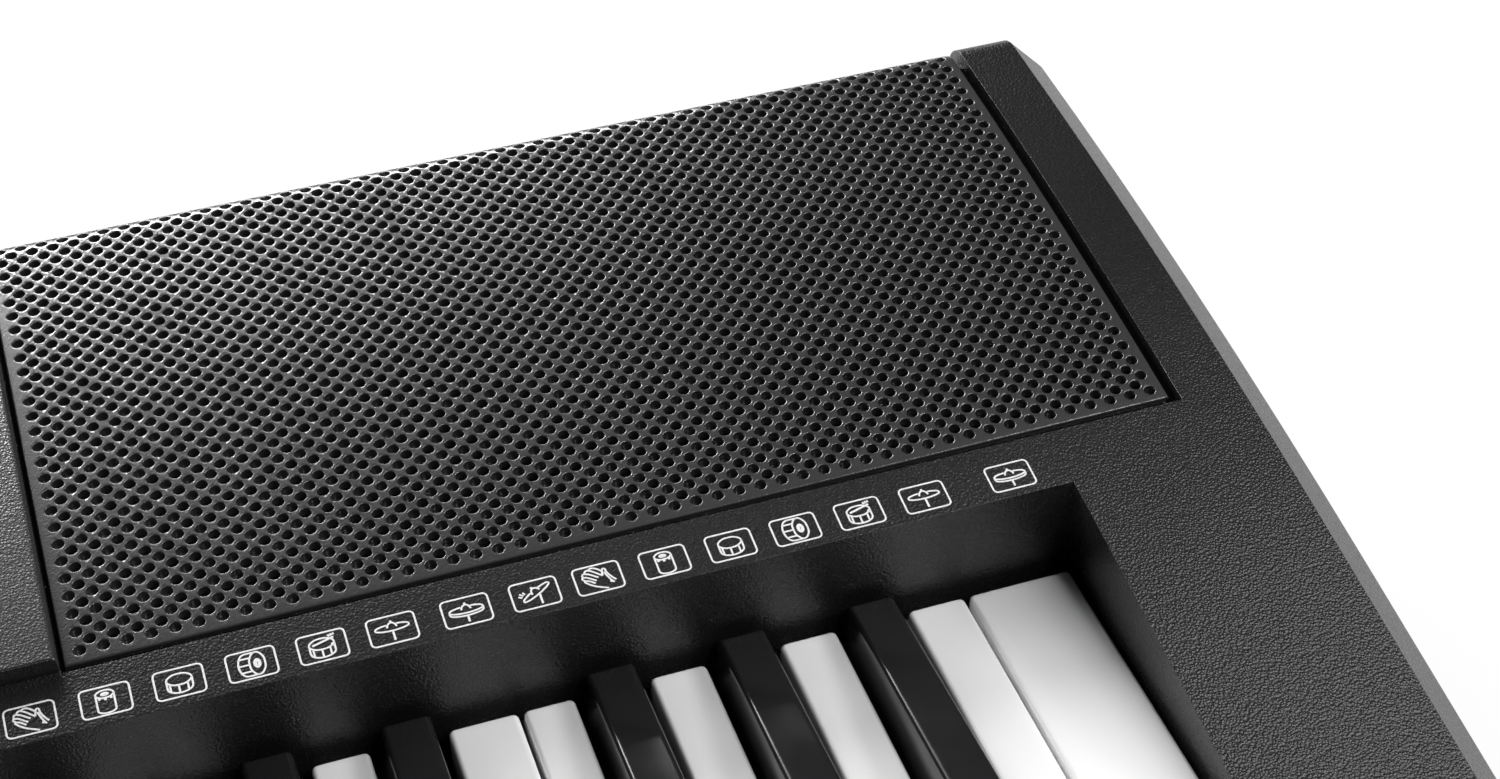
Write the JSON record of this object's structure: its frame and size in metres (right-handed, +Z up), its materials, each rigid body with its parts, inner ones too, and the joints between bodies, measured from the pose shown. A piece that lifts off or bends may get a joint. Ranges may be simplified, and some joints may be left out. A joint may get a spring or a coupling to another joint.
{
  "type": "portable keyboard",
  "caption": "Portable electronic keyboard with a moulded case, sprung piano-style keys, two perforated speaker grilles, a raised control panel with a display, and sockets at the back.",
  "frame": {"origin": "on the table, under the middle of the case", "axes": "+X along the keys towards the high notes, -Y towards the player, +Z up"},
  "size_m": [0.951, 0.2958, 0.1099],
  "materials": {
    "case_black": "fine grained moulding",
    "grille_black": "satin paint on perforated sheet",
    "panel_grey": "fine grained moulding",
    "key_white": "polished moulding",
    "key_black": "polished moulding",
    "button_grey": "satin moulding",
    "window_clear": "smoked clear sheet",
    "display_grey": "display glass in a plastic frame",
    "board_green": "lacquered circuit board",
    "chassis_grey": "unpainted moulding",
    "felt_red": "pressed felt",
    "contact_rubber": "soft moulding",
    "foot_rubber": "matt",
    "speaker_paper": "coated paper cone on a pressed frame",
    "socket_black": "satin moulding",
    "contact_steel": "plated spring sheet"
  },
  "bodies": {
    "case": {"upper_case": "case_black", "lower_case": "case_black", "left_front_foot": "foot_rubber", "right_front_foot": "foot_rubber", "left_rear_foot": "foot_rubber", "right_rear_foot": "foot_rubber", "battery_contact_low": "contact_steel", "battery_contact_high": "contact_steel", "left_grille": "grille_black", "right_grille": "grille_black", "left_speaker": "speaker_paper", "right_speaker": "speaker_paper", "control_panel": "panel_grey", "display_window": "window_clear", "display_module": "display_grey", "panel_board": "board_green", "main_board": "board_green", "contact_board": "board_green", "power_socket": "socket_black", "headphone_socket": "socket_black", "pedal_socket": "socket_black", "key_chassis": "chassis_grey", "key_stop_felt": "felt_red", "contact_rubber": "contact_rubber"},
    "battery_door": {"battery_door": "case_black"},
    "volume_knob": {"volume_knob": "button_grey"},
    "power_button": {"power_button": "button_grey"},
    "start_stop_button": {"start_stop_button": "button_grey"},
    "intro_button": {"intro_button": "button_grey"},
    "fill_button": {"fill_button": "button_grey"},
    "sync_button": {"sync_button": "button_grey"},
    "tempo_down_button": {"tempo_down_button": "button_grey"},
    "tempo_up_button": {"tempo_up_button": "button_grey"},
    "number_pad": {"number_pad": "button_grey"},
    "function_buttons": {"function_buttons": "button_grey"},
    "key_c": {"key_c": "key_white"},
    "key_d": {"key_d": "key_white"},
    "key_e": {"key_e": "key_white"},
    "key_f": {"key_f": "key_white"},
    "key_g": {"key_g": "key_white"},
    "key_a": {"key_a": "key_white"},
    "key_b": {"key_b": "key_white"},
    "key_top_c": {"key_top_c": "key_white"},
    "key_c_sharp": {"key_c_sharp": "key_black"},
    "key_d_sharp": {"key_d_sharp": "key_black"},
    "key_f_sharp": {"key_f_sharp": "key_black"},
    "key_g_sharp": {"key_g_sharp": "key_black"},
    "key_a_sharp": {"key_a_sharp": "key_black"},
    "octave_1_keys_c_e_g_b": {"octave_1_keys_c_e_g_b": "key_white"},
    "octave_1_keys_d_f_a": {"octave_1_keys_d_f_a": "key_white"},
    "octave_1_sharps": {"octave_1_sharps": "key_black"},
    "octave_2_keys_c_e_g_b": {"octave_2_keys_c_e_g_b": "key_white"},
    "octave_2_keys_d_f_a": {"octave_2_keys_d_f_a": "key_white"},
    "octave_2_sharps": {"octave_2_sharps": "key_black"},
    "octave_3_keys_c_e_g_b": {"octave_3_keys_c_e_g_b": "key_white"},
    "octave_3_keys_d_f_a": {"octave_3_keys_d_f_a": "key_white"},
    "octave_3_sharps": {"octave_3_sharps": "key_black"},
    "octave_4_keys_c_e_g_b": {"octave_4_keys_c_e_g_b": "key_white"},
    "octave_4_keys_d_f_a": {"octave_4_keys_d_f_a": "key_white"},
    "octave_4_sharps": {"octave_4_sharps": "key_black"}
  },
  "joints": [
    {"name": "battery_door_hinge", "type": "hinge", "parent": "case", "child": "battery_door", "pos_m": [0.11, 0.06555, 0.004], "axis": [-1, 0, 0], "range_deg": [0, 100]},
    {"name": "volume_knob_turn", "type": "hinge", "parent": "case", "child": "volume_knob", "pos_m": [-0.16, 0.09206, 0.09605], "axis": [0, -0.0985, 0.9951], "range_deg": [-150, 150]},
    {"name": "power_button_press", "type": "slide", "parent": "case", "child": "power_button", "axis": [0, 0.0985, -0.9951], "range_m": [0, 0.0008], "stiffness_N_per_m": 300, "springref_m": -0.002},
    {"name": "start_stop_button_press", "type": "slide", "parent": "case", "child": "start_stop_button", "axis": [0, 0.0985, -0.9951], "range_m": [0, 0.0008], "stiffness_N_per_m": 300, "springref_m": -0.002},
    {"name": "intro_button_press", "type": "slide", "parent": "case", "child": "intro_button", "axis": [0, 0.0985, -0.9951], "range_m": [0, 0.0008], "stiffness_N_per_m": 300, "springref_m": -0.002},
    {"name": "fill_button_press", "type": "slide", "parent": "case", "child": "fill_button", "axis": [0, 0.0985, -0.9951], "range_m": [0, 0.0008], "stiffness_N_per_m": 300, "springref_m": -0.002},
    {"name": "sync_button_press", "type": "slide", "parent": "case", "child": "sync_button", "axis": [0, 0.0985, -0.9951], "range_m": [0, 0.0008], "stiffness_N_per_m": 300, "springref_m": -0.002},
    {"name": "tempo_down_button_press", "type": "slide", "parent": "case", "child": "tempo_down_button", "axis": [0, 0.0985, -0.9951], "range_m": [0, 0.0008], "stiffness_N_per_m": 300, "springref_m": -0.002},
    {"name": "tempo_up_button_press", "type": "slide", "parent": "case", "child": "tempo_up_button", "axis": [0, 0.0985, -0.9951], "range_m": [0, 0.0008], "stiffness_N_per_m": 300, "springref_m": -0.002},
    {"name": "number_pad_press", "type": "slide", "parent": "case", "child": "number_pad", "axis": [0, 0.0985, -0.9951], "range_m": [0, 0.0008], "stiffness_N_per_m": 600, "springref_m": -0.002},
    {"name": "function_buttons_press", "type": "slide", "parent": "case", "child": "function_buttons", "axis": [0, 0.0985, -0.9951], "range_m": [0, 0.0008], "stiffness_N_per_m": 600, "springref_m": -0.002},
    {"name": "key_c_hinge", "type": "hinge", "parent": "case", "child": "key_c", "pos_m": [0.34, 0.04325, 0.04825], "axis": [1, 0, 0], "range_deg": [0, 3.1], "stiffness_Nm_per_rad": 0.3, "springref_deg": -22.92},
    {"name": "key_d_hinge", "type": "hinge", "parent": "case", "child": "key_d", "pos_m": [0.34, 0.04325, 0.05135], "axis": [1, 0, 0], "range_deg": [0, 3.1], "stiffness_Nm_per_rad": 0.3, "springref_deg": -22.92},
    {"name": "key_e_hinge", "type": "hinge", "parent": "case", "child": "key_e", "pos_m": [0.34, 0.04325, 0.04825], "axis": [1, 0, 0], "range_deg": [0, 3.1], "stiffness_Nm_per_rad": 0.3, "springref_deg": -22.92},
    {"name": "key_f_hinge", "type": "hinge", "parent": "case", "child": "key_f", "pos_m": [0.34, 0.04325, 0.05135], "axis": [1, 0, 0], "range_deg": [0, 3.1], "stiffness_Nm_per_rad": 0.3, "springref_deg": -22.92},
    {"name": "key_g_hinge", "type": "hinge", "parent": "case", "child": "key_g", "pos_m": [0.34, 0.04325, 0.04825], "axis": [1, 0, 0], "range_deg": [0, 3.1], "stiffness_Nm_per_rad": 0.3, "springref_deg": -22.92},
    {"name": "key_a_hinge", "type": "hinge", "parent": "case", "child": "key_a", "pos_m": [0.34, 0.04325, 0.05135], "axis": [1, 0, 0], "range_deg": [0, 3.1], "stiffness_Nm_per_rad": 0.3, "springref_deg": -22.92},
    {"name": "key_b_hinge", "type": "hinge", "parent": "case", "child": "key_b", "pos_m": [0.34, 0.04325, 0.04825], "axis": [1, 0, 0], "range_deg": [0, 3.1], "stiffness_Nm_per_rad": 0.3, "springref_deg": -22.92},
    {"name": "key_top_c_hinge", "type": "hinge", "parent": "case", "child": "key_top_c", "pos_m": [0.34, 0.04325, 0.04825], "axis": [1, 0, 0], "range_deg": [0, 3.1], "stiffness_Nm_per_rad": 0.3, "springref_deg": -22.92},
    {"name": "key_c_sharp_hinge", "type": "hinge", "parent": "case", "child": "key_c_sharp", "pos_m": [0.34, 0.04325, 0.05445], "axis": [1, 0, 0], "range_deg": [0, 3.1], "stiffness_Nm_per_rad": 0.3, "springref_deg": -22.92},
    {"name": "key_d_sharp_hinge", "type": "hinge", "parent": "case", "child": "key_d_sharp", "pos_m": [0.34, 0.04325, 0.05445], "axis": [1, 0, 0], "range_deg": [0, 3.1], "stiffness_Nm_per_rad": 0.3, "springref_deg": -22.92},
    {"name": "key_f_sharp_hinge", "type": "hinge", "parent": "case", "child": "key_f_sharp", "pos_m": [0.34, 0.04325, 0.05445], "axis": [1, 0, 0], "range_deg": [0, 3.1], "stiffness_Nm_per_rad": 0.3, "springref_deg": -22.92},
    {"name": "key_g_sharp_hinge", "type": "hinge", "parent": "case", "child": "key_g_sharp", "pos_m": [0.34, 0.04325, 0.05445], "axis": [1, 0, 0], "range_deg": [0, 3.1], "stiffness_Nm_per_rad": 0.3, "springref_deg": -22.92},
    {"name": "key_a_sharp_hinge", "type": "hinge", "parent": "case", "child": "key_a_sharp", "pos_m": [0.34, 0.04325, 0.05445], "axis": [1, 0, 0], "range_deg": [0, 3.1], "stiffness_Nm_per_rad": 0.3, "springref_deg": -22.92},
    {"name": "octave_1_keys_c_e_g_b_hinge", "type": "hinge", "parent": "case", "child": "octave_1_keys_c_e_g_b", "pos_m": [0, 0.04325, 0.04825], "axis": [1, 0, 0], "range_deg": [0, 3.1], "stiffness_Nm_per_rad": 1.2, "springref_deg": -22.92},
    {"name": "octave_1_keys_d_f_a_hinge", "type": "hinge", "parent": "case", "child": "octave_1_keys_d_f_a", "pos_m": [0, 0.04325, 0.05135], "axis": [1, 0, 0], "range_deg": [0, 3.1], "stiffness_Nm_per_rad": 0.9, "springref_deg": -22.92},
    {"name": "octave_1_sharps_hinge", "type": "hinge", "parent": "case", "child": "octave_1_sharps", "pos_m": [0, 0.04325, 0.05445], "axis": [1, 0, 0], "range_deg": [0, 3.1], "stiffness_Nm_per_rad": 1.5, "springref_deg": -22.92},
    {"name": "octave_2_keys_c_e_g_b_hinge", "type": "hinge", "parent": "case", "child": "octave_2_keys_c_e_g_b", "pos_m": [0, 0.04325, 0.04825], "axis": [1, 0, 0], "range_deg": [0, 3.1], "stiffness_Nm_per_rad": 1.2, "springref_deg": -22.92},
    {"name": "octave_2_keys_d_f_a_hinge", "type": "hinge", "parent": "case", "child": "octave_2_keys_d_f_a", "pos_m": [0, 0.04325, 0.05135], "axis": [1, 0, 0], "range_deg": [0, 3.1], "stiffness_Nm_per_rad": 0.9, "springref_deg": -22.92},
    {"name": "octave_2_sharps_hinge", "type": "hinge", "parent": "case", "child": "octave_2_sharps", "pos_m": [0, 0.04325, 0.05445], "axis": [1, 0, 0], "range_deg": [0, 3.1], "stiffness_Nm_per_rad": 1.5, "springref_deg": -22.92},
    {"name": "octave_3_keys_c_e_g_b_hinge", "type": "hinge", "parent": "case", "child": "octave_3_keys_c_e_g_b", "pos_m": [0, 0.04325, 0.04825], "axis": [1, 0, 0], "range_deg": [0, 3.1], "stiffness_Nm_per_rad": 1.2, "springref_deg": -22.92},
    {"name": "octave_3_keys_d_f_a_hinge", "type": "hinge", "parent": "case", "child": "octave_3_keys_d_f_a", "pos_m": [0, 0.04325, 0.05135], "axis": [1, 0, 0], "range_deg": [0, 3.1], "stiffness_Nm_per_rad": 0.9, "springref_deg": -22.92},
    {"name": "octave_3_sharps_hinge", "type": "hinge", "parent": "case", "child": "octave_3_sharps", "pos_m": [0, 0.04325, 0.05445], "axis": [1, 0, 0], "range_deg": [0, 3.1], "stiffness_Nm_per_rad": 1.5, "springref_deg": -22.92},
    {"name": "octave_4_keys_c_e_g_b_hinge", "type": "hinge", "parent": "case", "child": "octave_4_keys_c_e_g_b", "pos_m": [0, 0.04325, 0.04825], "axis": [1, 0, 0], "range_deg": [0, 3.1], "stiffness_Nm_per_rad": 1.2, "springref_deg": -22.92},
    {"name": "octave_4_keys_d_f_a_hinge", "type": "hinge", "parent": "case", "child": "octave_4_keys_d_f_a", "pos_m": [0, 0.04325, 0.05135], "axis": [1, 0, 0], "range_deg": [0, 3.1], "stiffness_Nm_per_rad": 0.9, "springref_deg": -22.92},
    {"name": "octave_4_sharps_hinge", "type": "hinge", "parent": "case", "child": "octave_4_sharps", "pos_m": [0, 0.04325, 0.05445], "axis": [1, 0, 0], "range_deg": [0, 3.1], "stiffness_Nm_per_rad": 1.5, "springref_deg": -22.92}
  ]
}
